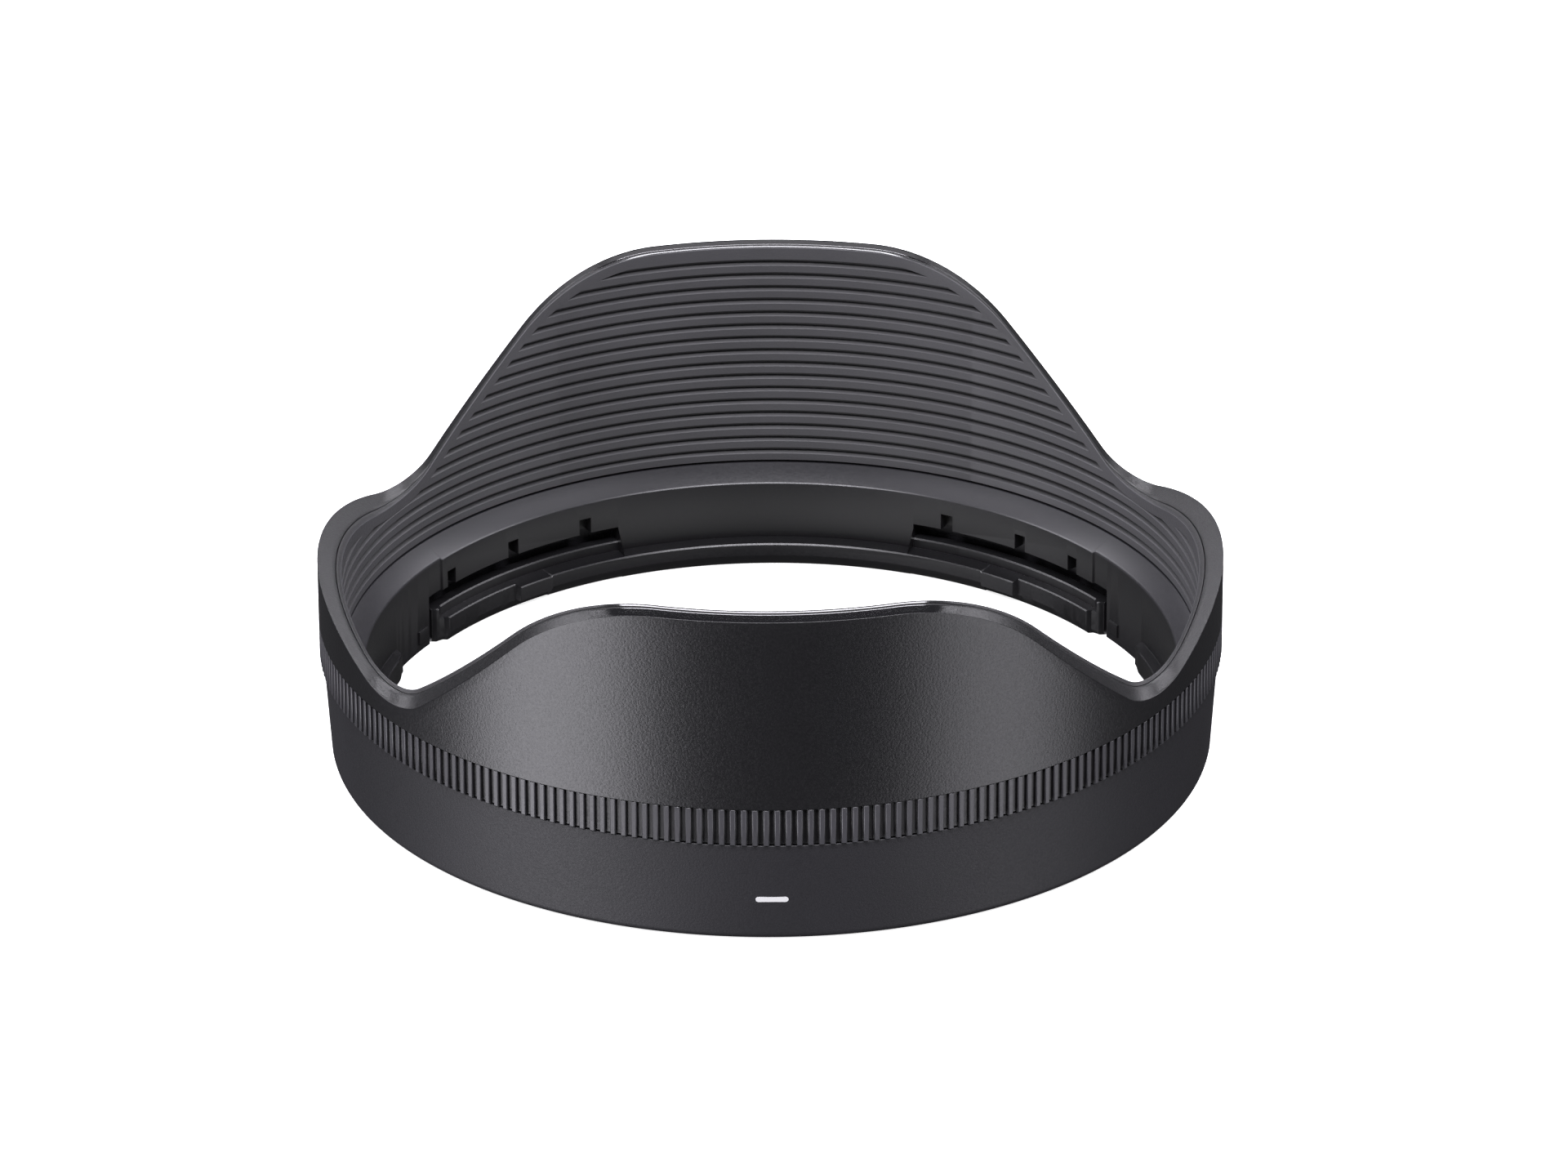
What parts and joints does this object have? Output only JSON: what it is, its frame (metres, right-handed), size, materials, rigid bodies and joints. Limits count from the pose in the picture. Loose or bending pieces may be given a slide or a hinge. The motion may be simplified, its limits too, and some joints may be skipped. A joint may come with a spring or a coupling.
{
  "type": "lens hood",
  "caption": "Petal-shaped lens hood with a ribbed inside, a grooved grip band, bayonet lips, sprung latch arms and a white index dash.",
  "frame": {"origin": "centre of the mount end's face, on the hood's axis", "axes": "+Z along the hood's axis towards the subject; the tall petals stand on -Y and +Y, the low ones on -X and +X; the index dash is on the -Y side"},
  "size_m": [0.084, 0.084, 0.0322],
  "materials": {
    "shell": "fine-grained matte black",
    "liner": "dead matte black",
    "grip": "satin black",
    "base": "fine-grained matte black",
    "mount": "smooth satin black",
    "arm": "smooth satin black",
    "index": "matte white"
  },
  "bodies": {
    "hood": {"petal_shell": "shell", "baffle_liner": "liner", "grip_ring": "grip", "base_ring": "base", "mount_ring": "mount", "index_mark": "index"},
    "arm_rear_left": {"latch_arm_rear_left": "arm"},
    "arm_rear_right": {"latch_arm_rear_right": "arm"},
    "arm_front_left": {"latch_arm_front_left": "arm"},
    "arm_front_right": {"latch_arm_front_right": "arm"}
  },
  "joints": [
    {"name": "rear_left_flex", "type": "hinge", "parent": "hood", "child": "arm_rear_left", "pos_m": [-0.01421, 0.03449, 0.0012], "axis": [0, 0, -1], "range_deg": [0, 1.5], "stiffness_Nm_per_rad": 2},
    {"name": "rear_right_flex", "type": "hinge", "parent": "hood", "child": "arm_rear_right", "pos_m": [0.01421, 0.03449, 0.0012], "axis": [0, 0, 1], "range_deg": [0, 1.5], "stiffness_Nm_per_rad": 2},
    {"name": "front_left_flex", "type": "hinge", "parent": "hood", "child": "arm_front_left", "pos_m": [-0.01421, -0.03449, 0.0012], "axis": [0, 0, 1], "range_deg": [0, 1.5], "stiffness_Nm_per_rad": 2},
    {"name": "front_right_flex", "type": "hinge", "parent": "hood", "child": "arm_front_right", "pos_m": [0.01421, -0.03449, 0.0012], "axis": [0, 0, -1], "range_deg": [0, 1.5], "stiffness_Nm_per_rad": 2}
  ]
}
